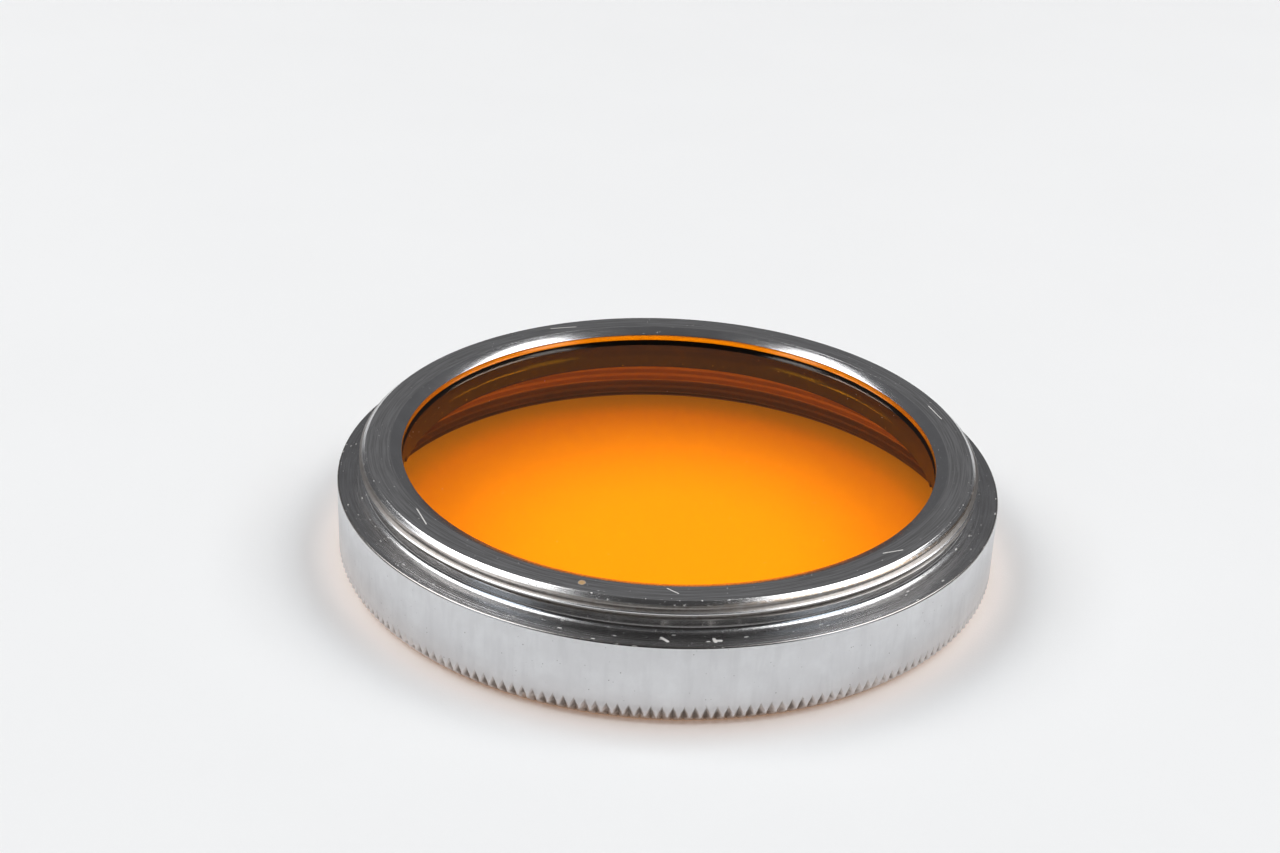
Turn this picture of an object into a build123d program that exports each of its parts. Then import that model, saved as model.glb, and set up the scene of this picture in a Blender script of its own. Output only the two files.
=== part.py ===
"""Screw-in lens filter: a knurled mount ring, an orange glass disc and a threaded retaining ring.

Frame: millimetres, +Z up along the filter's axis. The origin is the centre of the front rim,
the plane the filter stands on. The male lens thread points up, the female front thread down.
"""

import os
from math import ceil, pi, radians, sqrt, tan

from build123d import *

# ---------------------------------------------------------------- driving dimensions (mm, degrees)
THREAD_NOMINAL = 40.5        # nominal diameter of the male and the female filter thread
THREAD_PITCH = 0.5
THREAD_HALF_ANGLE = 30.0     # half of the 60 degree thread form

DRUM_HEIGHT = 5.3            # rim plane to shoulder
RIM_WALL = 1.35              # radial, filter thread's nominal radius to the drum's outside
SHOULDER_EDGE_CHAMFER = 0.15
RIM_CHAMFER = 0.5            # outer corner that carries the milled teeth

COLLAR_HEIGHT = 2.0          # shoulder to the top face
COLLAR_WALL = 0.9            # radial, glass pocket to the neck
COLLAR_BEVEL_WIDTH = 0.5     # outer bevel round the top face
COLLAR_BEVEL_HEIGHT = 0.45
FIRST_GROOVE_DROP = 0.305    # top face to the middle of the first male groove, towards +X
NECK_DEPTH = 0.38            # undercut below the male thread's crest
NECK_HEIGHT = 0.95           # shoulder to the lower end of the male thread
NECK_RUNOUT = 0.14           # height of the cone between neck and thread
NECK_COVE = 0.4              # concave radius at the neck's foot

SEAT_WIDTH = 1.42            # radial, how far the lip reaches in over the glass
LIP_THICKNESS = 0.74         # top face to the glass seat
LIP_BEVEL_WIDTH = 0.78       # shallow inner bevel from the top face to the opening
LIP_EDGE = 0.42              # plain wall of the opening below the bevel

MILLED_TEETH = 210
MILL_HEIGHT = 1.25           # where a tooth gap runs out on the drum
MILL_RIM_DEPTH = 0.6         # gap depth in the rim plane, measured radially

GLASS_THICKNESS = 1.2
GLASS_EDGE_BEVEL = 0.12

RETAINER_NOSE_HEIGHT = 0.8   # plain clamping nose between the glass and the flange
RETAINER_FLANGE_HEIGHT = 0.92
RETAINER_EDGE_CHAMFER = 0.12
SPANNER_SLOT_WIDTH = 1.6
SPANNER_SLOT_DEPTH = 0.5
SPANNER_SLOTS = 2

ENTRY_CHAMFER = 0.15         # lead-in of the front thread
RETAINER_ENTRY_CHAMFER = 0.15
THREAD_RELIEF_HEIGHT = 0.3   # plain groove at the inner end of each female thread
THREAD_RELIEF_DEPTH = 0.07   # radial, beyond the female thread's root

# ---------------------------------------------------------------- named clearances (mm)
GLASS_FIT = 0.1              # radial, glass in its pocket
NOSE_CLEARANCE = 0.2         # radial, retaining ring's nose in the pocket
FLANGE_HEADROOM = 0.1        # retaining ring's flange to the step above it
MALE_ALLOWANCE = 0.02        # radial, male filter thread's crest under nominal
FEMALE_ROOT_CLEARANCE = 0.03  # radial, female root beyond nominal
RETAINER_PASS_CLEARANCE = 0.28   # radial, ring's crest inside the front thread's crest
RETAINER_RECESS = 0.1        # ring's face above the step at the front thread's inner end
RETAINER_CREST_CLEARANCE = 0.05  # radial, ring's crest under its thread's nominal radius
RETAINER_ROOT_CLEARANCE = 0.08   # radial, ring's root under the female crest
FLANK_CLEARANCE = 0.03       # axial, on each flank of the retaining ring's thread
TOOL_OVERRUN = 0.02          # how far a thread tool stands out of the blank
MILL_OVERRUN = 0.3           # how far a milling tool stands out of the blank

# ---------------------------------------------------------------- derived sizes
FLANK_SLOPE = tan(radians(THREAD_HALF_ANGLE))
SHARP_HEIGHT = THREAD_PITCH / (2 * FLANK_SLOPE)
THREAD_DEPTH = SHARP_HEIGHT * 5 / 8
PITCH_LINE_DROP = SHARP_HEIGHT * 3 / 8

NOMINAL_R = THREAD_NOMINAL / 2
DRUM_R = NOMINAL_R + RIM_WALL
TOP_Z = DRUM_HEIGHT + COLLAR_HEIGHT

FRONT_CREST_R = NOMINAL_R - THREAD_DEPTH
FRONT_ROOT_R = NOMINAL_R + FEMALE_ROOT_CLEARANCE
MALE_CREST_R = NOMINAL_R - MALE_ALLOWANCE
MALE_ROOT_R = MALE_CREST_R - THREAD_DEPTH
FIRST_GROOVE_Z = TOP_Z - FIRST_GROOVE_DROP
NECK_R = MALE_CREST_R - NECK_DEPTH
NECK_TOP_Z = DRUM_HEIGHT + NECK_HEIGHT

POCKET_R = NECK_R - COLLAR_WALL
GLASS_R = POCKET_R - GLASS_FIT
OPENING_R = GLASS_R - SEAT_WIDTH
SEAT_Z = TOP_Z - LIP_THICKNESS
GLASS_BOTTOM_Z = SEAT_Z - GLASS_THICKNESS

RETAINER_CREST_R = FRONT_CREST_R - RETAINER_PASS_CLEARANCE
RETAINER_R = RETAINER_CREST_R + RETAINER_CREST_CLEARANCE
RETAINER_NOSE_R = POCKET_R - NOSE_CLEARANCE
SOCKET_CREST_R = RETAINER_R - THREAD_DEPTH
SOCKET_ROOT_R = RETAINER_R + FEMALE_ROOT_CLEARANCE
RETAINER_ROOT_R = SOCKET_CREST_R - RETAINER_ROOT_CLEARANCE
FLANGE_TOP_Z = GLASS_BOTTOM_Z - RETAINER_NOSE_HEIGHT
RETAINER_BOTTOM_Z = FLANGE_TOP_Z - RETAINER_FLANGE_HEIGHT
SOCKET_TOP_Z = FLANGE_TOP_Z + FLANGE_HEADROOM
FRONT_THREAD_END = RETAINER_BOTTOM_Z - RETAINER_RECESS


def turned(outline):
    """Solid of revolution from a closed outline of radius and height."""
    return revolve(Plane.XZ * make_face(outline), Axis.Z)


def cut_thread(blank, nominal_r, mouth_r, root_r, first_z, last_z, side=1, slack=0.0):
    """Cut a right-handed groove into a blank, one full turn after another.

    The groove's middle lies at first_z in the +X direction and climbs one pitch each turn.
    side is 1 for a male thread, whose groove opens outwards, and -1 for a female one.
    """
    pitch_line = nominal_r - PITCH_LINE_DROP
    mouth = THREAD_PITCH / 4 + side * (mouth_r - pitch_line) * FLANK_SLOPE + slack
    root = THREAD_PITCH / 4 + side * (root_r - pitch_line) * FLANK_SLOPE + slack
    outline = Polyline((mouth_r, -mouth), (root_r, -root), (root_r, root), (mouth_r, mouth), close=True)
    section = Plane(origin=(0, 0, 0), x_dir=(1, 0, 0), z_dir=(0, -1, 0)) * make_face(outline)
    path = Helix(pitch=THREAD_PITCH, height=THREAD_PITCH, radius=mouth_r)
    one_turn = sweep(section, path=path, is_frenet=True)
    for turn in range(ceil((last_z - first_z) / THREAD_PITCH)):
        blank -= Pos(0, 0, first_z + turn * THREAD_PITCH) * one_turn
    return largest(blank)


def largest(shape):
    """The main body, without the loose burrs that a thread's run-out leaves."""
    return max(shape.solids(), key=lambda solid: solid.volume)


def mount_blank():
    """Turned mount ring before threading and milling."""
    front = FRONT_THREAD_END
    relief = THREAD_RELIEF_HEIGHT
    front_relief_r = FRONT_ROOT_R + THREAD_RELIEF_DEPTH
    socket_relief_r = SOCKET_ROOT_R + THREAD_RELIEF_DEPTH
    drum = Polyline(
        (FRONT_CREST_R + ENTRY_CHAMFER, 0),
        (DRUM_R - RIM_CHAMFER, 0),
        (DRUM_R, RIM_CHAMFER),
        (DRUM_R, DRUM_HEIGHT - SHOULDER_EDGE_CHAMFER),
        (DRUM_R - SHOULDER_EDGE_CHAMFER, DRUM_HEIGHT),
        (NECK_R + NECK_COVE, DRUM_HEIGHT),
    )
    cove_middle = NECK_COVE * (1 - 1 / sqrt(2))
    cove = ThreePointArc(
        (NECK_R + NECK_COVE, DRUM_HEIGHT),
        (NECK_R + cove_middle, DRUM_HEIGHT + cove_middle),
        (NECK_R, DRUM_HEIGHT + NECK_COVE),
    )
    collar_and_bore = Polyline(
        (NECK_R, DRUM_HEIGHT + NECK_COVE),
        (NECK_R, NECK_TOP_Z - NECK_RUNOUT),
        (MALE_CREST_R, NECK_TOP_Z),
        (MALE_CREST_R, TOP_Z - COLLAR_BEVEL_HEIGHT),
        (MALE_CREST_R - COLLAR_BEVEL_WIDTH, TOP_Z),
        (OPENING_R + LIP_BEVEL_WIDTH, TOP_Z),
        (OPENING_R, SEAT_Z + LIP_EDGE),
        (OPENING_R, SEAT_Z),
        (POCKET_R, SEAT_Z),
        (POCKET_R, SOCKET_TOP_Z),
        (socket_relief_r, SOCKET_TOP_Z),
        (socket_relief_r, SOCKET_TOP_Z - relief),
        (SOCKET_CREST_R, SOCKET_TOP_Z - relief),
        (SOCKET_CREST_R, front + RETAINER_ENTRY_CHAMFER),
        (SOCKET_CREST_R + RETAINER_ENTRY_CHAMFER, front),
        (front_relief_r, front),
        (front_relief_r, front - relief),
        (FRONT_CREST_R, front - relief),
        (FRONT_CREST_R, ENTRY_CHAMFER),
        (FRONT_CREST_R + ENTRY_CHAMFER, 0),
    )
    return turned(drum + cove + collar_and_bore)


def milled_gaps():
    """V-shaped gaps of the milled rim: one four-sided tool per gap, its keel rising outwards."""
    half_gap = pi * DRUM_R / MILLED_TEETH
    keel_slope = MILL_RIM_DEPTH / MILL_HEIGHT
    full_depth = keel_slope * (MILL_HEIGHT - RIM_CHAMFER)
    outer_r = DRUM_R + MILL_OVERRUN
    keel_r = DRUM_R - keel_slope * (MILL_HEIGHT + MILL_OVERRUN)
    half_mouth = half_gap * (outer_r - keel_r) / full_depth
    keel = Vector(keel_r, 0, -MILL_OVERRUN)
    left = Vector(outer_r, half_mouth, -MILL_OVERRUN)
    right = Vector(outer_r, -half_mouth, -MILL_OVERRUN)
    tip = Vector(outer_r, 0, MILL_HEIGHT + MILL_OVERRUN / keel_slope)
    sides = [(keel, left, right), (keel, left, tip), (left, right, tip), (right, keel, tip)]
    gap = Solid(Shell([make_face(Polyline(*corners, close=True)).face() for corners in sides]))
    return [Rot(0, 0, 360 * i / MILLED_TEETH) * gap for i in range(MILLED_TEETH)]


def mount_ring():
    """Mount: knurled drum, collar with the lens thread, glass seat and two female threads."""
    ring = cut_thread(
        mount_blank(),
        MALE_CREST_R,
        MALE_CREST_R + TOOL_OVERRUN,
        MALE_ROOT_R,
        FIRST_GROOVE_Z - 2 * THREAD_PITCH,
        TOP_Z + THREAD_PITCH / 2,
    )
    ring = cut_thread(
        ring,
        NOMINAL_R,
        FRONT_CREST_R - TOOL_OVERRUN,
        FRONT_ROOT_R,
        -THREAD_PITCH,
        FRONT_THREAD_END - THREAD_PITCH / 2,
        side=-1,
    )
    ring = cut_thread(
        ring,
        RETAINER_R,
        SOCKET_CREST_R - TOOL_OVERRUN,
        SOCKET_ROOT_R,
        FRONT_THREAD_END - THREAD_PITCH,
        SOCKET_TOP_Z - THREAD_PITCH / 2,
        side=-1,
    )
    return ring - milled_gaps()


def filter_glass():
    """Plane-parallel glass disc with bevelled edges."""
    return turned(Polyline(
        (0, GLASS_BOTTOM_Z),
        (GLASS_R - GLASS_EDGE_BEVEL, GLASS_BOTTOM_Z),
        (GLASS_R, GLASS_BOTTOM_Z + GLASS_EDGE_BEVEL),
        (GLASS_R, SEAT_Z - GLASS_EDGE_BEVEL),
        (GLASS_R - GLASS_EDGE_BEVEL, SEAT_Z),
        (0, SEAT_Z),
        close=True,
    ))


def retaining_ring():
    """Threaded ring that presses the glass against the lip, with spanner slots in its face."""
    blank = turned(Polyline(
        (OPENING_R, RETAINER_BOTTOM_Z),
        (RETAINER_CREST_R - RETAINER_EDGE_CHAMFER, RETAINER_BOTTOM_Z),
        (RETAINER_CREST_R, RETAINER_BOTTOM_Z + RETAINER_EDGE_CHAMFER),
        (RETAINER_CREST_R, FLANGE_TOP_Z - RETAINER_EDGE_CHAMFER),
        (RETAINER_CREST_R - RETAINER_EDGE_CHAMFER, FLANGE_TOP_Z),
        (RETAINER_NOSE_R, FLANGE_TOP_Z),
        (RETAINER_NOSE_R, GLASS_BOTTOM_Z),
        (OPENING_R, GLASS_BOTTOM_Z),
        close=True,
    ))
    ring = cut_thread(
        blank,
        RETAINER_R,
        RETAINER_CREST_R + TOOL_OVERRUN,
        RETAINER_ROOT_R,
        FRONT_THREAD_END - THREAD_PITCH * 3 / 2,   # half a pitch off the socket's grooves
        FLANGE_TOP_Z + THREAD_PITCH / 2,
        slack=FLANK_CLEARANCE,
    )
    slot = Box(RETAINER_R, SPANNER_SLOT_WIDTH, 2 * SPANNER_SLOT_DEPTH)
    for i in range(SPANNER_SLOTS):
        turn = Rot(0, 0, 360 * i / SPANNER_SLOTS)
        ring -= turn * Pos(RETAINER_R, 0, RETAINER_BOTTOM_Z) * slot
    return ring


os.makedirs("parts", exist_ok=True)
PIECES = {
    "mount_ring": mount_ring,
    "filter_glass": filter_glass,
    "retaining_ring": retaining_ring,
}
for node, build in PIECES.items():
    export_step(build(), f"parts/{node}.step")
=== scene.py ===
"""Looks of a screw-in lens filter: chromed mount ring, orange glass, blackened retaining ring."""

import math

import bmesh
import bpy
from mathutils import Euler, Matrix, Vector


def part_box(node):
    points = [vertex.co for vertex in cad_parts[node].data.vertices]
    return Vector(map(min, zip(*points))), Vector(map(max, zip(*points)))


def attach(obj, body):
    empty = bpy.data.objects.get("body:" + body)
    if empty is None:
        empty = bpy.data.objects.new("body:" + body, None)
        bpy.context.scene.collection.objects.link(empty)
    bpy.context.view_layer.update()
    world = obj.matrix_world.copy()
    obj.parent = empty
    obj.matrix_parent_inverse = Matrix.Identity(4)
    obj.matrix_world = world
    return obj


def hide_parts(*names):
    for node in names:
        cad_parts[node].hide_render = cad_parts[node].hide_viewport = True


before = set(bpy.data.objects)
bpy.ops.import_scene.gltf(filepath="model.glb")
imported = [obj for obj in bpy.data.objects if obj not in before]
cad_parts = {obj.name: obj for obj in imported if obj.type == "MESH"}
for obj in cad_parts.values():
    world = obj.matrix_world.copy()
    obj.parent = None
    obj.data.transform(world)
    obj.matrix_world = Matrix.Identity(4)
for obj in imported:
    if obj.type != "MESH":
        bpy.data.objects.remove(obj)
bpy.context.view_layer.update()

MM = 0.001
TAU = 2 * math.pi

# ------------------------------------------------------------------ sizes of the mount (mm)
_, mount_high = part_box("mount_ring")
glass_low, glass_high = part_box("filter_glass")
retainer_low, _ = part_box("retaining_ring")

DRUM_R = mount_high.x / MM
TOP_Z = mount_high.z / MM
GLASS_R = glass_high.x / MM
GLASS_BOTTOM = glass_low.z / MM
SEAT_Z = glass_high.z / MM
RETAINER_BOTTOM = retainer_low.z / MM

TEETH = 210
SEGMENTS = 2 * TEETH          # columns round the turned surfaces
RIM_CHAMFER = 0.5
MILL_HEIGHT = 1.25
MILL_SLOPE = 0.48             # keel of a gap, outwards for each mm up
MILL_ROWS = (0, 0.06, 0.16, 0.28, 0.4, 0.5, 0.62, 0.76, 0.9, 1.04, 1.16, 1.25, 1.34)
TOOTH_LAND = 0.1              # share of a half tooth that stays as a worn ridge
TOOTH_WEAR = 0.02             # worn off the ridges
KEEL_FILL = 0.93              # share of a gap's depth that its rounded keel reaches
KEEL_FLANK = (0.15, 0.85)     # share of the half gap and of its depth where the flank starts
DRUM_START = 1.6              # first plain ring above the teeth

SHOULDER_Z = 5.3
EDGE_CHAMFER = 0.07
NECK_R = 19.85
NECK_COVE = 0.4
NECK_END = 6.11
CONE_END = 6.25
CREST_R = 20.23
BEVEL_Z = 6.85
BEVEL_TOP_R = 19.73
LIP_BEVEL_R = 18.21
OPENING_R = 17.43
LIP_EDGE = 0.42
POCKET_R = 18.95

PITCH = 0.5
THREAD_DEPTH = 0.2706
MALE_GROOVE_Z = 5.995
FRONT_CREST_R = 19.979
FRONT_RELIEF_R = 20.35
FRONT_END = RETAINER_BOTTOM - 0.1
SOCKET_CREST_R = 19.479
SOCKET_RELIEF_R = 19.85
SOCKET_TOP = GLASS_BOTTOM - 0.7
RELIEF_HEIGHT = 0.3
ENTRY_CHAMFER = 0.15
THREAD_JOIN = 0.06            # under the top face, where the lens thread runs out
COARSE_ROWS = (1, 2, 1)       # crest, flank and root rows of the threads inside

GLASS_BEVEL = 0.12
GLASS_RINGS = (12.0, 6.0)     # inner rings of the glass's faces
GLASS_COLUMNS = 240

OUTER_BREAK = 0.04            # broken edges outside and inside the mount
INNER_BREAK = 0.03
SLIVER = 0.008                # thread rows nearer than this to a plain ring join it


# ------------------------------------------------------------------ turned meshes
class Turning:
    """Points and faces of one turned piece, gathered ring by ring along its outline."""

    def __init__(self):
        self.points = []
        self.faces = []

    def ring(self, radius, height, columns=SEGMENTS):
        """A plain ring of points; returns their numbers."""
        start = len(self.points)
        for i in range(columns):
            angle = TAU * i / columns
            self.points.append((radius * math.cos(angle), radius * math.sin(angle), height))
        return list(range(start, start + columns))

    def join(self, first, second):
        """Faces between two rings; where one has more points, they fan out to the other's."""
        if len(first) > len(second):
            first, second = second, first
        share = len(second) // len(first)
        for i, here in enumerate(first):
            ahead = first[(i + 1) % len(first)]
            run = [second[(i * share + k) % len(second)] for k in range(share + 1)]
            middle = share // 2
            if share == 1:
                self.faces.append((here, ahead, run[1], run[0]))
                continue
            for k in range(share):
                self.faces.append((here if k < middle else ahead, run[k + 1], run[k]))
            self.faces.append((here, ahead, run[middle]))

    def turn(self, outline, previous=None, columns=SEGMENTS):
        """Plain rings along an outline of radius and height, each joined to the one before."""
        for radius, height in outline:
            current = self.ring(radius, height, columns)
            if previous is not None:
                self.join(previous, current)
            previous = current
        return previous

    def thread(self, low, high, low_z, high_z, blank_at, groove, groove_z, side):
        """Helical wall between two plain rings, climbing one pitch a turn.

        groove lists (height, radius) over one pitch from the groove's middle. side is 1 for a
        male thread and -1 for a female one.
        """
        rows = len(groove)
        columns = len(low)
        pick = min if side > 0 else max
        start_turn = math.floor((low_z - PITCH - groove_z) / PITCH)
        turns = math.ceil((high_z - low_z) / PITCH) + 3
        last = turns * rows
        grid = {}

        def number(column, row):
            if column == columns:
                return number(0, row + rows)
            height = (
                groove_z
                + (start_turn + row // rows + column / columns) * PITCH
                + groove[row % rows][0]
            )
            if row >= last or height > high_z - SLIVER:
                return high[column]
            if height < low_z + SLIVER:
                return low[column]
            if (column, row) not in grid:
                radius = pick(blank_at(height), groove[row % rows][1])
                angle = TAU * column / columns
                grid[column, row] = len(self.points)
                self.points.append((radius * math.cos(angle), radius * math.sin(angle), height))
            return grid[column, row]

        for column in range(columns):
            for row in range(last):
                corners = (
                    number(column, row),
                    number(column + 1, row),
                    number(column + 1, row + 1),
                    number(column, row + 1),
                )
                distinct = list(dict.fromkeys(corners))
                if len(distinct) > 2:
                    self.faces.append(tuple(distinct))

    def piece(self, name, sharp=32.0):
        """The finished mesh object, smooth apart from its real edges."""
        mesh = bpy.data.meshes.new(name)
        mesh.from_pydata([Vector(p) * MM for p in self.points], [], self.faces)
        work = bmesh.new()
        work.from_mesh(mesh)
        bmesh.ops.dissolve_degenerate(work, dist=1e-7, edges=work.edges)
        bmesh.ops.recalc_face_normals(work, faces=work.faces)
        work.to_mesh(mesh)
        work.free()
        mesh.polygons.foreach_set("use_smooth", [True] * len(mesh.polygons))
        mesh.set_sharp_from_angle(angle=math.radians(sharp))
        made = bpy.data.objects.new(name, mesh)
        bpy.context.scene.collection.objects.link(made)
        return made


def eased(outline, radius, steps=2):
    """An outline with each inner corner broken by a small arc, as a deburred edge is."""
    made = [outline[0]]
    for before, corner, after in zip(outline, outline[1:], outline[2:]):
        here = Vector(corner)
        back = Vector(before) - here
        ahead = Vector(after) - here
        reach = min(radius, 0.45 * back.length, 0.45 * ahead.length)
        first = here + back.normalized() * reach
        second = here + ahead.normalized() * reach
        for k in range(steps + 1):
            t = k / steps
            point = first * (1 - t) ** 2 + here * 2 * t * (1 - t) + second * t ** 2
            made.append(tuple(point))
    made.append(outline[-1])
    return made


def thread_profile(crest_r, side, crest_rows=3, flank_rows=4, root_rows=3):
    """(height, radius) points over one pitch of a 60 degree thread, from the groove's middle."""
    root_r = crest_r - side * THREAD_DEPTH
    flank = THREAD_DEPTH * math.tan(math.radians(30))
    half_root = (PITCH * 7 / 8 - 2 * flank) / 2
    half_crest = PITCH / 16
    made = []
    for k in range(root_rows):
        made.append((half_root * k / root_rows, root_r))
    for k in range(flank_rows):
        t = k / flank_rows
        made.append((half_root + flank * t, root_r + (crest_r - root_r) * t))
    for k in range(2 * crest_rows):
        made.append((half_root + flank + half_crest * k / crest_rows, crest_r))
    for k in range(flank_rows):
        t = k / flank_rows
        made.append((PITCH - half_root - flank * (1 - t), crest_r + (root_r - crest_r) * t))
    for k in range(root_rows):
        made.append((PITCH - half_root * (1 - k / root_rows), root_r))
    return made


def milled_rim(turning):
    """Rows of the milled teeth from the rim plane up the drum; returns the first and last ring."""
    half_gap = math.pi / TEETH
    full_depth = MILL_SLOPE * (MILL_HEIGHT - RIM_CHAMFER)
    rings = []
    for height in MILL_ROWS:
        surface = DRUM_R - max(RIM_CHAMFER - height, 0)
        keel = DRUM_R - MILL_SLOPE * max(MILL_HEIGHT - height, 0)
        depth = surface - keel
        mouth = min(max(depth / full_depth, 0.05), 1 - TOOTH_LAND)
        if height == MILL_ROWS[-1]:
            mouth = 0.5
        wear = TOOTH_WEAR if mouth > 0.5 and depth > 0 else 0
        half_tooth = [
            (0, surface - depth * KEEL_FILL),
            (KEEL_FLANK[0] * mouth, surface - depth * KEEL_FLANK[1]),
            (mouth, surface - wear),
            ((1 + mouth) / 2, surface - wear / 2),
        ]
        tooth = half_tooth + [(1, surface)] + [(2 - a, r) for a, r in half_tooth[:0:-1]]
        start = len(turning.points)
        for i in range(TEETH):
            for share, radius in tooth:
                angle = (2 * i + share) * half_gap
                x, y = radius * math.cos(angle), radius * math.sin(angle)
                turning.points.append((x, y, height))
        rings.append(list(range(start, start + TEETH * len(tooth))))
        if len(rings) > 1:
            turning.join(rings[-2], rings[-1])
    return rings[0], rings[-1]


def collar_wall(height):
    """Radius of the collar before its thread is cut."""
    if height < NECK_END:
        return NECK_R
    if height < CONE_END:
        return NECK_R + (CREST_R - NECK_R) * (height - NECK_END) / (CONE_END - NECK_END)
    if height < BEVEL_Z:
        return CREST_R
    return CREST_R + (BEVEL_TOP_R - CREST_R) * (height - BEVEL_Z) / (TOP_Z - BEVEL_Z)


def mount_ring():
    """Chromed mount with its milled rim, lens thread, glass seat and two female threads."""
    t = Turning()
    rim, drum = milled_rim(t)
    cove = [
        (NECK_R + NECK_COVE * (1 - math.sin(a)), SHOULDER_Z + NECK_COVE * (1 - math.cos(a)))
        for a in (math.radians(10 * k) for k in range(1, 10))
    ]
    outside = eased([
        (DRUM_R, DRUM_START),
        (DRUM_R, SHOULDER_Z - EDGE_CHAMFER),
        (DRUM_R - EDGE_CHAMFER, SHOULDER_Z),
        (NECK_R + NECK_COVE, SHOULDER_Z),
    ], OUTER_BREAK) + cove + [(NECK_R, NECK_END)]
    neck = t.turn(outside, drum)
    thread_top = TOP_Z - THREAD_JOIN
    top = t.ring(collar_wall(thread_top), thread_top)
    t.thread(neck, top, NECK_END, thread_top, collar_wall,
             thread_profile(CREST_R, 1), MALE_GROOVE_Z, 1)
    inside = eased([
        (collar_wall(thread_top), thread_top),
        (BEVEL_TOP_R, TOP_Z),
        (LIP_BEVEL_R, TOP_Z),
        (OPENING_R, SEAT_Z + LIP_EDGE),
        (OPENING_R, SEAT_Z),
        (POCKET_R, SEAT_Z),
        (POCKET_R, SOCKET_TOP),
        (SOCKET_RELIEF_R, SOCKET_TOP),
        (SOCKET_RELIEF_R, SOCKET_TOP - RELIEF_HEIGHT),
        (SOCKET_CREST_R, SOCKET_TOP - RELIEF_HEIGHT),
    ], INNER_BREAK)[1:]
    socket_high = t.turn(inside, top)
    socket_low = t.ring(SOCKET_CREST_R, FRONT_END + ENTRY_CHAMFER)
    t.thread(socket_low, socket_high, FRONT_END + ENTRY_CHAMFER, SOCKET_TOP - RELIEF_HEIGHT,
             lambda height: SOCKET_CREST_R,
             thread_profile(SOCKET_CREST_R, -1, *COARSE_ROWS), FRONT_END, -1)
    step = [
        (SOCKET_CREST_R + ENTRY_CHAMFER, FRONT_END),
        (FRONT_RELIEF_R, FRONT_END),
        (FRONT_RELIEF_R, FRONT_END - RELIEF_HEIGHT),
        (FRONT_CREST_R, FRONT_END - RELIEF_HEIGHT),
    ]
    front_high = t.turn(step, socket_low)
    front_low = t.ring(FRONT_CREST_R, ENTRY_CHAMFER)
    t.thread(front_low, front_high, ENTRY_CHAMFER, FRONT_END - RELIEF_HEIGHT,
             lambda height: FRONT_CREST_R, thread_profile(FRONT_CREST_R, -1, *COARSE_ROWS), 0, -1)
    face = [(FRONT_CREST_R + ENTRY_CHAMFER, 0), (DRUM_R - RIM_CHAMFER - 0.25, 0)]
    t.join(t.turn(face, front_low), rim)
    return t.piece("chrome_mount")


def filter_glass():
    """Glass disc with ground, bevelled edges."""
    t = Turning()
    bevel = GLASS_BEVEL
    outline = eased([
        (OPENING_R, GLASS_BOTTOM),
        (GLASS_R - bevel, GLASS_BOTTOM),
        (GLASS_R, GLASS_BOTTOM + bevel),
        (GLASS_R, SEAT_Z - bevel),
        (GLASS_R - bevel, SEAT_Z),
        (OPENING_R, SEAT_Z),
    ], INNER_BREAK)
    columns = GLASS_COLUMNS
    first = t.ring(outline[0][0], outline[0][1], columns)
    last = t.turn(outline[1:], first, columns)
    for edge, height in ((first, GLASS_BOTTOM), (last, SEAT_Z)):
        inner = edge
        for radius in GLASS_RINGS:
            ring = t.ring(radius, height, columns)
            t.join(inner, ring)
            inner = ring
        centre = len(t.points)
        t.points.append((0, 0, height))
        for i in range(columns):
            t.faces.append((centre, inner[i], inner[(i + 1) % columns]))
    return t.piece("orange_disc", 20)


# ------------------------------------------------------------------ nodes
class Nodes:
    """A node tree and the one method that adds a node to it."""

    def __init__(self, tree):
        self.tree = tree

    def add(self, kind, settings=None, sockets=None, out=0):
        """A node of that type, its settings made first and then its sockets.

        Returns the output named or numbered by out, or nothing when out is None.
        """
        node = self.tree.nodes.new(kind)
        for key, value in (settings or {}).items():
            if key == "stops":
                for stop, (place, colour) in zip(node.color_ramp.elements, value):
                    stop.position = place
                    stop.color = (*colour, 1)
            else:
                setattr(node, key, value)
        for key, value in (sockets or {}).items():
            self.put(node.inputs[key], value)
        return None if out is None else Wire(self, node.outputs[out])

    def put(self, socket, value):
        """A wire or a plain value for one socket."""
        if isinstance(value, Wire):
            self.tree.links.new(value.socket, socket)
        elif socket.type == "RGBA":
            socket.default_value = (*value, 1)
        else:
            socket.default_value = value

    def math(self, operation, *values):
        return self.add("ShaderNodeMath", {"operation": operation}, dict(enumerate(values)))

    def vector_math(self, operation, first, second, out=0):
        return self.add("ShaderNodeVectorMath", {"operation": operation},
                        {0: first, 1: second}, out)

    def scaled(self, vector, factor):
        return self.add("ShaderNodeVectorMath", {"operation": "SCALE"},
                        {0: vector, "Scale": factor})

    def distance(self, first, second):
        return self.vector_math("DISTANCE", first, second, out=1)


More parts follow.
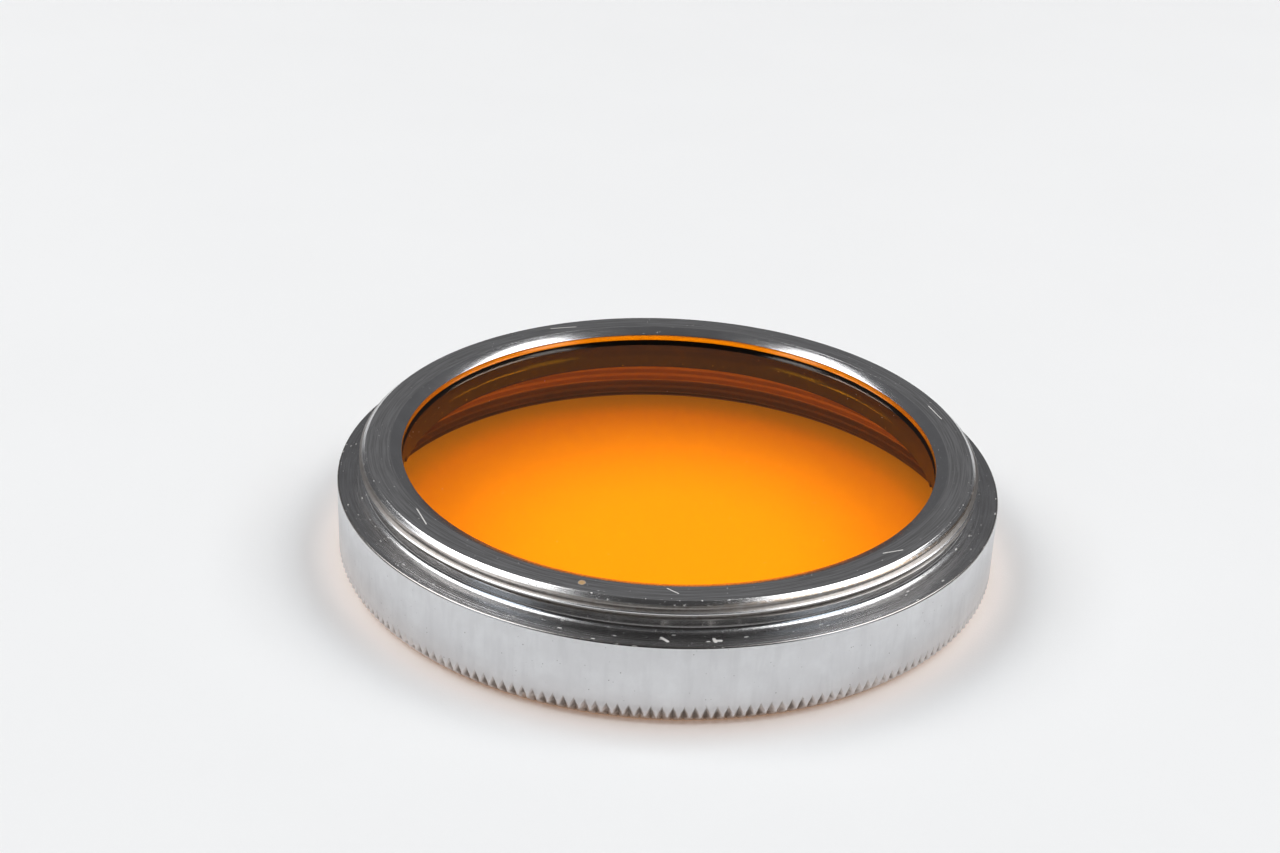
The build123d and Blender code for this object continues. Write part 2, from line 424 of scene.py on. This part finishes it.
class Wire:
    """One value in a node tree; plain arithmetic on it adds the Math nodes."""

    def __init__(self, nodes, socket):
        self.nodes = nodes
        self.socket = socket

    def math(self, operation, *others):
        return self.nodes.math(operation, self, *others)

    def __add__(self, other):
        return self.math("ADD", other)

    __radd__ = __add__

    def __sub__(self, other):
        return self.math("SUBTRACT", other)

    def __rsub__(self, other):
        return self.nodes.math("SUBTRACT", other, self)

    def __mul__(self, other):
        return self.math("MULTIPLY", other)

    __rmul__ = __mul__

    def __truediv__(self, other):
        return self.math("DIVIDE", other)

    def __pow__(self, other):
        return self.math("POWER", other)

    def above(self, low, high):
        """0 up to low, 1 from high, eased between."""
        return self.nodes.add("ShaderNodeMapRange", {"interpolation_type": "SMOOTHSTEP"},
                              {0: self, 1: low, 2: high, 3: 0.0, 4: 1.0})

    def below(self, low, high):
        """1 up to low, 0 from high, eased between."""
        return 1 - self.above(low, high)

    def within(self, low, high, ease):
        """1 between low and high, with soft ends."""
        return self.above(low - ease, low + ease) * self.below(high - ease, high + ease)

    def clamp(self):
        return self.math("MAXIMUM", 0.0).math("MINIMUM", 1.0)


class Finish(Nodes):
    """One node material and its Principled shader."""

    def __init__(self, name):
        self.material = bpy.data.materials.new(name)
        self.material.use_nodes = True
        super().__init__(self.material.node_tree)
        self.tree.nodes.clear()
        surface = self.add("ShaderNodeBsdfPrincipled")
        self.shader = surface.socket.node
        self.add("ShaderNodeOutputMaterial", sockets={"Surface": surface}, out=None)

    def set(self, **sockets):
        """Values or wires for the shader's own sockets, with _ for a blank in a name."""
        for key, value in sockets.items():
            self.put(self.shader.inputs[key.replace("_", " ")], value)

    def place(self):
        """Radius, angle and height on the piece, in mm and turns, and its point in mm."""
        point = self.scaled(self.add("ShaderNodeTexCoord", out="Object"), 1 / MM)
        x = self.add("ShaderNodeSeparateXYZ", sockets={0: point})
        y, z = (Wire(self, x.socket.node.outputs[axis]) for axis in "YZ")
        radius = (x * x + y * y) ** 0.5
        turn = y.math("ARCTAN2", x) / TAU
        return radius, turn, z, point

    def vector(self, x, y, z):
        return self.add("ShaderNodeCombineXYZ", sockets={0: x, 1: y, 2: z})

    def noise(self, vector, scale, detail, roughness):
        return self.add("ShaderNodeTexNoise", sockets={
            "Vector": vector, "Scale": scale, "Detail": detail, "Roughness": roughness})

    def grain(self, x, y, z, detail, roughness):
        """Noise over three values of the place, each already in cycles."""
        return self.noise(self.vector(x, y, z), 1.0, detail, roughness)

    def dots(self, vector, scale, low, high):
        """Round dots, one in each random cell, fading out from low to high."""
        return self.add("ShaderNodeTexVoronoi", sockets={
            "Vector": vector, "Scale": scale, "Randomness": 1.0}).below(low, high)

    def mix(self, share, first, second):
        """Colour between two colours."""
        return self.add("ShaderNodeMix", {"data_type": "RGBA"},
                        {0: share, 6: first, 7: second}, out=2)

    def scratch(self, point, start, end, width):
        """1 along a straight scratch between two points in mm, and 0 away from it."""
        run = Vector(end) - Vector(start)
        away = self.vector_math("SUBTRACT", point, start)
        along = self.vector_math("DOT_PRODUCT", away, tuple(run / run.length_squared), out=1)
        nearest = self.scaled(tuple(run), along.clamp())
        return self.distance(away, nearest).below(width * 0.5, width * 1.3)

    def scratches(self, point, runs, width):
        return sum(self.scratch(point, start, end, width) for start, end in runs)

    def bump(self, height, depth, normal=None):
        """Relief of that depth in metres, on top of another one if it is given."""
        sockets = {"Height": height, "Distance": depth, "Strength": 1.0}
        if normal is not None:
            sockets["Normal"] = normal
        return self.add("ShaderNodeBump", sockets=sockets)


# ------------------------------------------------------------------ colours and marks
CHROME = (0.66, 0.66, 0.67)
CHROME_HAZE = (0.78, 0.79, 0.80)
# painted light: a brighter chrome colour for the top face alone, so it reads lighter
PAINTED_BRIGHT_TOP = (1.0, 1.0, 1.0)
TOOL_LINE = (0.40, 0.39, 0.38)
DRUM_STREAK = (0.52, 0.52, 0.53)
# painted shade: dark chrome for the thread grooves, the neck recess and the shoulder's outer edge
PAINTED_SHADE_CHROME = (0.20, 0.172, 0.15)
BRASS = (0.40, 0.24, 0.10)
BARE_BRASS = (0.62, 0.40, 0.20)
BLACK_LACQUER = (0.022, 0.017, 0.014)
THIN_LACQUER = (0.042, 0.034, 0.028)
THREAD_LACQUER = (0.24, 0.16, 0.10)
# painted light: the lit, warm and pale copy of the bore's lacquer
PAINTED_LIT_LACQUER = (0.72, 0.50, 0.30)
DUST = (0.75, 0.73, 0.70)
GRIME = (0.05, 0.038, 0.03)
PACKED_GRIME = (0.13, 0.105, 0.085)
ORANGE = (1.0, 0.50, 0.0008)
ORANGE_DUST = (1.0, 0.74, 0.45)
ORANGE_SHEEN = (1.0, 0.45, 0.05)
PALE = (0.85, 0.85, 0.85)
PALER = (0.875, 0.875, 0.875)
FAR_TABLE = (0.8, 0.8, 0.8)
FOOT_GLOW = (0.22, 0.125, 0.07)
POOL_EDGE = (0.42, 0.145, 0.0)
POOL_MIDDLE = (1.25, 0.62, 0.0)

SCRATCH_WIDTH = 0.04
SCRATCHES = [
    ((0.3, -18.45, TOP_Z), (0.95, -18.95, TOP_Z)),
    ((-15.2, -10.6, TOP_Z), (-14.4, -12.4, TOP_Z)),
    ((13.1, -13.2, TOP_Z), (14.3, -12.7, TOP_Z)),
    ((-9.0, 16.9, TOP_Z), (-7.2, 17.4, TOP_Z)),
    ((17.6, 7.1, TOP_Z), (18.3, 5.2, TOP_Z)),
]
FLECK_WIDTH = 0.11
FLECKS = [
    ((0.1, -20.6, SHOULDER_Z), (0.45, -20.95, SHOULDER_Z)),
    ((3.1, -20.45, SHOULDER_Z), (3.2, -20.75, SHOULDER_Z)),
    ((3.15, -20.65, SHOULDER_Z), (3.5, -20.6, SHOULDER_Z)),
]
BRASS_SPOT = (-4.65, -18.25, TOP_Z)
BRASS_SPOT_SIZE = 0.3
RUBBED_ARC = (-0.22, -0.02)   # turns, where the collar's upper edge is rubbed
# where the lacquer of the threads ends and that of the pocket starts
LACQUER_TOP = (GLASS_BOTTOM - 0.26, GLASS_BOTTOM - 0.16)
LACQUER_REACH = (FRONT_RELIEF_R - 0.07, FRONT_RELIEF_R - 0.01)
LIT_BORE = (1.15, 1.3)        # height from which painted light makes the lacquer inside warm and pale
EDGE_DUST_FROM = (15.2, 17.2)
GLASS_IOR = 1.52
FOOT_GLOW_REACH = (DRUM_R - 1.0, DRUM_R + 4.5)
POOL_CENTRE = (0.5, -3.2, 0.0)
POOL_REACH = (6.0, 21.5)
UNDER_GLASS = (16.5, 19.5)
FAR_FROM = (250.0, 1100.0)    # where the table turns into a pale backdrop

FINE_LATHE_DEPTH = 0.0000022  # reliefs, m
LATHE_DEPTH = 0.000004
RIDGE_DEPTH = 0.000016
STREAK_DEPTH = 0.000006
PIT_DEPTH = 0.00001
LACQUER_DEPTH = 0.000008
GROUND_DEPTH = 0.00001
TABLE_DEPTH = 0.00001


# ------------------------------------------------------------------ finishes
def chrome_zones(radius, height):
    """Masks of the mount's surfaces, by name."""
    bore = height.below(*LACQUER_TOP) * radius.below(*LACQUER_REACH)
    pocket = height.within(LACQUER_TOP[0], SEAT_Z - 0.01, 0.02)
    pocket = pocket * radius.below(POCKET_R + 0.25, POCKET_R + 0.35)
    upper_edge = height.within(BEVEL_Z + 0.16, BEVEL_Z + 0.3, 0.05)
    upper_edge = upper_edge * radius.above(BEVEL_TOP_R + 0.07, BEVEL_TOP_R + 0.17)
    top_edge = radius.within(BEVEL_TOP_R - 0.05, BEVEL_TOP_R + 0.03, 0.03)
    top_edge = top_edge * height.above(TOP_Z - 0.1, TOP_Z - 0.05)
    thread = height.within(CONE_END - 0.05, TOP_Z - 0.22, 0.03)
    thread = thread * radius.below(CREST_R - 0.11, CREST_R - 0.03)
    thread = thread * radius.above(NECK_R - 0.25, NECK_R - 0.15)
    neck = height.within(SHOULDER_Z + 0.2, CONE_END, 0.1)
    neck = neck * radius.within(NECK_R - 0.25, NECK_R + 0.15, 0.05)
    # the shoulder's outer edge, darkened as painted shade
    shaded_rim_edge = radius.above(DRUM_R - 0.14, DRUM_R - 0.08)
    shaded_rim_edge = shaded_rim_edge * height.within(SHOULDER_Z - 0.09, SHOULDER_Z + 0.02, 0.01)
    return {
        "drum": height.within(MILL_HEIGHT - 0.35, SHOULDER_Z - 0.16, 0.02)
                * radius.above(DRUM_R - 0.4, DRUM_R - 0.2),
        "teeth": height.below(MILL_HEIGHT - 0.1, MILL_HEIGHT + 0.1)
                 * radius.above(DRUM_R - 1.0, DRUM_R - 0.8),
        "shoulder": height.within(SHOULDER_Z - 0.1, SHOULDER_Z + 0.35, 0.03)
                    * radius.above(NECK_R + 0.05, NECK_R + 0.15),
        "collar": height.within(SHOULDER_Z + 0.3, TOP_Z - 0.02, 0.03)
                  * radius.above(NECK_R - 0.35, NECK_R - 0.25),
        "bevel": height.within(BEVEL_Z + 0.2, TOP_Z - 0.03, 0.03)
                 * radius.above(NECK_R - 0.25, NECK_R - 0.05),
        "top": height.above(TOP_Z - 0.02, TOP_Z - 0.005),
        "upper_edge": upper_edge,
        "edges": (upper_edge + top_edge).clamp(),
        "thread": thread,
        "neck": neck,
        "shaded_rim_edge": shaded_rim_edge,
        "bore": bore,
        "pocket": pocket,
    }


def packed_grime(f, radius, turn, height):
    """Grime packed in the gaps between the milled teeth."""
    tooth_surface = DRUM_R - (RIM_CHAMFER - height).math("MAXIMUM", 0.0)
    in_gap = (tooth_surface - radius).above(0.04, 0.2)
    in_gap = in_gap * height.below(MILL_HEIGHT - 0.15, MILL_HEIGHT + 0.05)
    in_gap = in_gap * radius.above(DRUM_R - 1.2, DRUM_R - 1.0)
    return in_gap * f.grain(turn * 60.0, height, radius, 2.0, 0.6).above(0.3, 0.55)


def chrome_finish():
    """Chrome plating over turned brass: lathe lines, haze, pits, rubbed edges, lacquered bore,
    painted light and shade.
    """
    f = Finish("worn_chrome")
    radius, turn, height, point = f.place()
    on = chrome_zones(radius, height)
    lathe = f.grain(radius * 9.0, height * 9.0, turn * 3.0, 3.0, 0.65)
    fine_lathe = f.grain(radius * 34.0, height * 34.0, turn * 7.0, 2.0, 0.6)
    ridges = f.grain(radius * 15.0, height * 2.0, turn * 1.6, 2.0, 0.55)
    tooling = f.grain(radius * 10.0, height * 10.0, turn * 26.0, 3.0, 0.7)
    streaks = f.grain(turn * 260.0, height * 0.35, radius * 0.3, 2.0, 0.5)
    haze = f.noise(point, 0.55, 4.0, 0.6)
    mottle = f.noise(point, 3.2, 3.0, 0.6)

    pits = f.dots(point, 2.6, 0.05, 0.11) * mottle.above(0.46, 0.6)
    specks = f.dots(f.vector(radius * 2.6, height * 2.6, turn * 120.0), 1.0, 0.10, 0.16)
    specks = specks * on["shoulder"] * mottle.above(0.42, 0.55)
    grit = f.dots(point, 5.5, 0.10, 0.2) * mottle.above(0.45, 0.6)
    edge_grain = f.grain(turn * 430.0, height * 2.6, radius * 2.6, 4.0, 0.75)
    nicks = on["edges"] * edge_grain.above(0.58, 0.72)
    rubbed = on["upper_edge"] * turn.within(*RUBBED_ARC, 0.04) * mottle.above(0.3, 0.5)
    spot = f.distance(point, BRASS_SPOT) + mottle * BRASS_SPOT_SIZE * 0.8
    spot = spot.below(BRASS_SPOT_SIZE * 0.9, BRASS_SPOT_SIZE * 1.4)
    scratches = (f.scratches(point, SCRATCHES, SCRATCH_WIDTH)
                 + f.scratches(point, FLECKS, FLECK_WIDTH)).clamp()
    packed = packed_grime(f, radius, turn, height)
    tooled = (on["top"] + on["shoulder"] + on["collar"]).clamp() * tooling.above(0.38, 0.62)
    # painted shade: the thread's grooves and the neck recess under its crest are darkened
    recess_shade = (on["thread"] * 0.75 + on["neck"] * 0.5) * (0.7 + mottle * 0.6)
    lacquer = (on["bore"] + on["pocket"]).clamp()

    colour = f.mix(haze.above(0.35, 0.75) * 0.5, CHROME, CHROME_HAZE)
    # painted light: the bore is paler and warmer from LIT_BORE up, a lit copy of its lacquer
    bore = f.mix(height.above(*LIT_BORE), THREAD_LACQUER, PAINTED_LIT_LACQUER)
    for share, shade in (
        (rubbed * 0.75, BRASS),
        # painted light: the top face brightened
        (on["top"], PAINTED_BRIGHT_TOP),
        (tooled * 0.5, TOOL_LINE),
        (streaks.above(0.45, 0.7) * on["drum"] * 0.2, DRUM_STREAK),
        (grit * (on["shoulder"] + on["collar"]).clamp() * 0.5, DUST),
        (spot, BARE_BRASS),
        (pits * 0.8, GRIME),
        ((specks + nicks * 0.8 + scratches).clamp(), DUST),
        # painted shade on the thread grooves, the neck and the shoulder's outer edge
        ((recess_shade + on["shaded_rim_edge"] * 0.6).clamp(), PAINTED_SHADE_CHROME),
        (packed * 0.75, PACKED_GRIME),
        (on["pocket"], BLACK_LACQUER),
        (on["bore"], bore),
    ):
        colour = f.mix(share, colour, shade)

    rough = 0.10 + haze * 0.05 + fine_lathe * 0.05
    rough = rough + on["drum"] * 0.17 + on["teeth"] * 0.14 + on["shoulder"] * 0.08
    rough = rough + on["collar"] * 0.05 + on["top"] * 0.05
    rough = rough + (specks + nicks).clamp() * 0.35 + pits * 0.3
    rough = rough + on["thread"] * 0.18 + on["neck"] * 0.06
    rough = rough * (1 - lacquer) + lacquer * 0.5
    covered = specks * 0.85 + nicks * 0.3 + scratches * 0.95 + pits * 0.6
    metal = 1 - (covered + lacquer + packed * 0.6 + spot * 0.75).clamp()

    relief = f.bump(fine_lathe, FINE_LATHE_DEPTH)
    relief = f.bump(lathe * (1 + on["bevel"]), LATHE_DEPTH, relief)
    relief = f.bump(ridges * (on["shoulder"] + on["top"] * 0.3), RIDGE_DEPTH, relief)
    relief = f.bump(streaks * on["drum"], STREAK_DEPTH, relief)
    relief = f.bump(1 - pits - nicks * 0.5, PIT_DEPTH, relief)
    f.set(Base_Color=colour, Roughness=rough, Metallic=metal, Normal=relief)
    return f.material


def lacquer_finish():
    """Matt black lacquer over turned brass, rubbed thin at the edges and slots."""
    f = Finish("matt_lacquer")
    radius, turn, height, point = f.place()
    lathe = f.grain(radius * 14.0, height * 14.0, turn * 4.0, 3.0, 0.6)
    mottle = f.noise(point, 2.2, 4.0, 0.6)
    front_face = height.below(RETAINER_BOTTOM + 0.02, RETAINER_BOTTOM + 0.1)
    slot_edge = (turn * TAU).math("SINE").math("ABSOLUTE").below(0.05, 0.09)
    wear = front_face * slot_edge * mottle.above(0.42, 0.6) * 0.7
    dust = f.dots(point, 2.3, 0.06, 0.12) * mottle.above(0.5, 0.62)
    colour = f.mix(mottle.above(0.3, 0.8), BLACK_LACQUER, THIN_LACQUER)
    colour = f.mix(wear, colour, BRASS)
    colour = f.mix(dust * 0.7, colour, DUST)
    rough = 0.42 + mottle * 0.2 - wear * 0.2
    f.set(Base_Color=colour, Roughness=rough, Metallic=wear * 0.9,
          Normal=f.bump(lathe, LACQUER_DEPTH))
    return f.material


def glass_finish():
    """Orange glass, polished on its faces and ground round the edge, with a little dust."""
    f = Finish("orange_glass")
    radius, turn, height, point = f.place()
    ground = radius.above(GLASS_R - 0.25, GLASS_R - 0.1)
    mottle = f.noise(point, 1.1, 3.0, 0.6)
    fluff = f.grain(radius * 0.9, turn * 40.0, height, 3.0, 0.6)
    smear = f.grain(radius * 0.5, turn * 9.0, height, 4.0, 0.7).above(0.5, 0.9)
    dust = f.dots(point, 1.5, 0.03, 0.055) * mottle.above(0.45, 0.6)
    edge_dust = f.dots(point, 3.4, 0.07, 0.12) * radius.above(*EDGE_DUST_FROM)
    dusty = (dust + edge_dust * fluff.above(0.52, 0.66)).clamp()
    grain = f.noise(point, 30.0, 2.0, 0.6)
    f.set(Base_Color=f.mix(dusty * 0.6, ORANGE, ORANGE_DUST),
          Roughness=ground * 0.45 + dusty * 0.4 + smear * 0.015,
          Normal=f.bump(grain * ground, GROUND_DEPTH),
          Transmission_Weight=1.0, IOR=GLASS_IOR, Specular_Tint=ORANGE_SHEEN)
    return f.material


def table_finish():
    """Plain pale table, with painted light: the warm light that the glass throws round the drum's
    foot and the orange pool under the glass.
    """
    f = Finish("pale_table")
    radius, _, _, point = f.place()
    colour = f.mix(f.noise(point, 0.05, 3.0, 0.5), PALE, PALER)
    glow = radius.below(*FOOT_GLOW_REACH) ** 2.0
    pool = f.distance(point, POOL_CENTRE).below(*POOL_REACH)
    warm = f.mix(glow, (0, 0, 0), FOOT_GLOW)
    warm = f.mix(radius.above(*FAR_FROM), warm, FAR_TABLE)
    # painted light: the orange pool of light through the glass, on the table under the disc
    warm = f.mix(radius.below(*UNDER_GLASS), warm, f.mix(pool, POOL_EDGE, POOL_MIDDLE))
    f.set(Base_Color=colour, Roughness=0.6, Emission_Color=warm, Emission_Strength=1.0,
          Normal=f.bump(f.noise(point, 6.0, 3.0, 0.6), TABLE_DEPTH))
    return f.material


# ------------------------------------------------------------------ pieces
mount = mount_ring()
mount.data.materials.append(chrome_finish())
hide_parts("mount_ring")
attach(mount, "mount")

glass = filter_glass()
glass.data.materials.append(glass_finish())
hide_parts("filter_glass")
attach(glass, "glass")

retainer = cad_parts["retaining_ring"]
retainer.data.materials.clear()
retainer.data.materials.append(lacquer_finish())

# ------------------------------------------------------------------ table, lights and camera (m)
TABLE_HALF = 3.0
TABLE_STEPS = 24
TABLE_GAP = 0.00002

CEILING = 0.6
BOX_OUT = 0.90 * CEILING
BOX_BACK = 0.19 * CEILING
BOX_SIZE = (1.1 * CEILING, 1.0 * CEILING)
BOX_TURN = 14                 # degrees, each box towards the middle
BOX_RADIANCE = 4.2
WHITE = (1.0, 1.0, 1.0)
WINDOW_OUT, WINDOW_FRONT, WINDOW_UP = 0.62, 0.36, 0.42
WINDOW_SIZE = (0.3, 0.25)
WINDOW_RADIANCE = 2.2
WINDOW_BLUE = (0.75, 0.87, 1.0)
SIDES = (("left", -1), ("right", 1))

ROOM_FRONT = (0.035, 0.033, 0.032)
ROOM_BACK = (0.12, 0.12, 0.124)

CAMERA_PLACE = (0.0, -0.1217123, 0.0703227)
CAMERA_TURN = (62.9705, -2.0939, 1.9889)
CAMERA_LENS = 58.84           # mm, for the sensor below
CAMERA_SENSOR = 36


def in_scene(name, data):
    """An object with that data, linked to the scene."""
    made = bpy.data.objects.new(name, data)
    bpy.context.scene.collection.objects.link(made)
    return made


def table_top():
    """The table, a hair below the part's rim."""
    mesh = bpy.data.meshes.new("table_top")
    work = bmesh.new()
    bmesh.ops.create_grid(work, x_segments=TABLE_STEPS, y_segments=TABLE_STEPS, size=TABLE_HALF)
    work.to_mesh(mesh)
    work.free()
    mesh.materials.append(table_finish())
    made = in_scene("table_top", mesh)
    made.location.z = -TABLE_GAP


def soft_box(name, place, size, radiance, colour):
    """A rectangular soft light of that radiance, hanging level."""
    light = bpy.data.lights.new(name, "AREA")
    light.shape = "RECTANGLE"
    light.size, light.size_y = size
    light.energy = radiance * math.pi * size[0] * size[1]
    light.color = colour
    made = in_scene(name, light)
    made.location = place
    return made


def room_light():
    """A dim room, darker behind the camera than on the far side."""
    world = bpy.data.worlds.new("room")
    world.use_nodes = True
    room = Nodes(world.node_tree)
    direction = room.add("ShaderNodeTexCoord", out="Generated")
    turned = room.add("ShaderNodeMapping", sockets={
        "Vector": direction,
        "Location": (0.5, 0, 0),
        "Rotation": (0, 0, math.radians(-90)),
        "Scale": (0.5, 0.5, 0.5),
    })
    slope = room.add("ShaderNodeTexGradient", sockets={0: turned})
    shade = room.add("ShaderNodeValToRGB", {"stops": [(0.15, ROOM_FRONT), (0.85, ROOM_BACK)]},
                     {0: slope})
    room.put(world.node_tree.nodes["Background"].inputs[0], shade)
    bpy.context.scene.world = world


table_top()
for label, side in SIDES:
    box = soft_box(label + "_box", (side * BOX_OUT, BOX_BACK, CEILING),
                   BOX_SIZE, BOX_RADIANCE, WHITE)
    box.rotation_euler.z = side * math.radians(BOX_TURN)
for label, side in SIDES:
    window = soft_box("window_" + label, (side * WINDOW_OUT, -WINDOW_FRONT, WINDOW_UP),
                      WINDOW_SIZE, WINDOW_RADIANCE, WINDOW_BLUE)
    window.rotation_euler = window.location.to_track_quat("Z", "Y").to_euler()
room_light()
bpy.context.scene.view_settings.view_transform = "Standard"

camera = in_scene("camera", bpy.data.cameras.new("camera"))
camera.location = CAMERA_PLACE
camera.rotation_euler = Euler([math.radians(angle) for angle in CAMERA_TURN])
camera.data.lens = CAMERA_LENS
camera.data.sensor_width = CAMERA_SENSOR
camera.data.clip_start = 0.005
bpy.context.scene.camera = camera
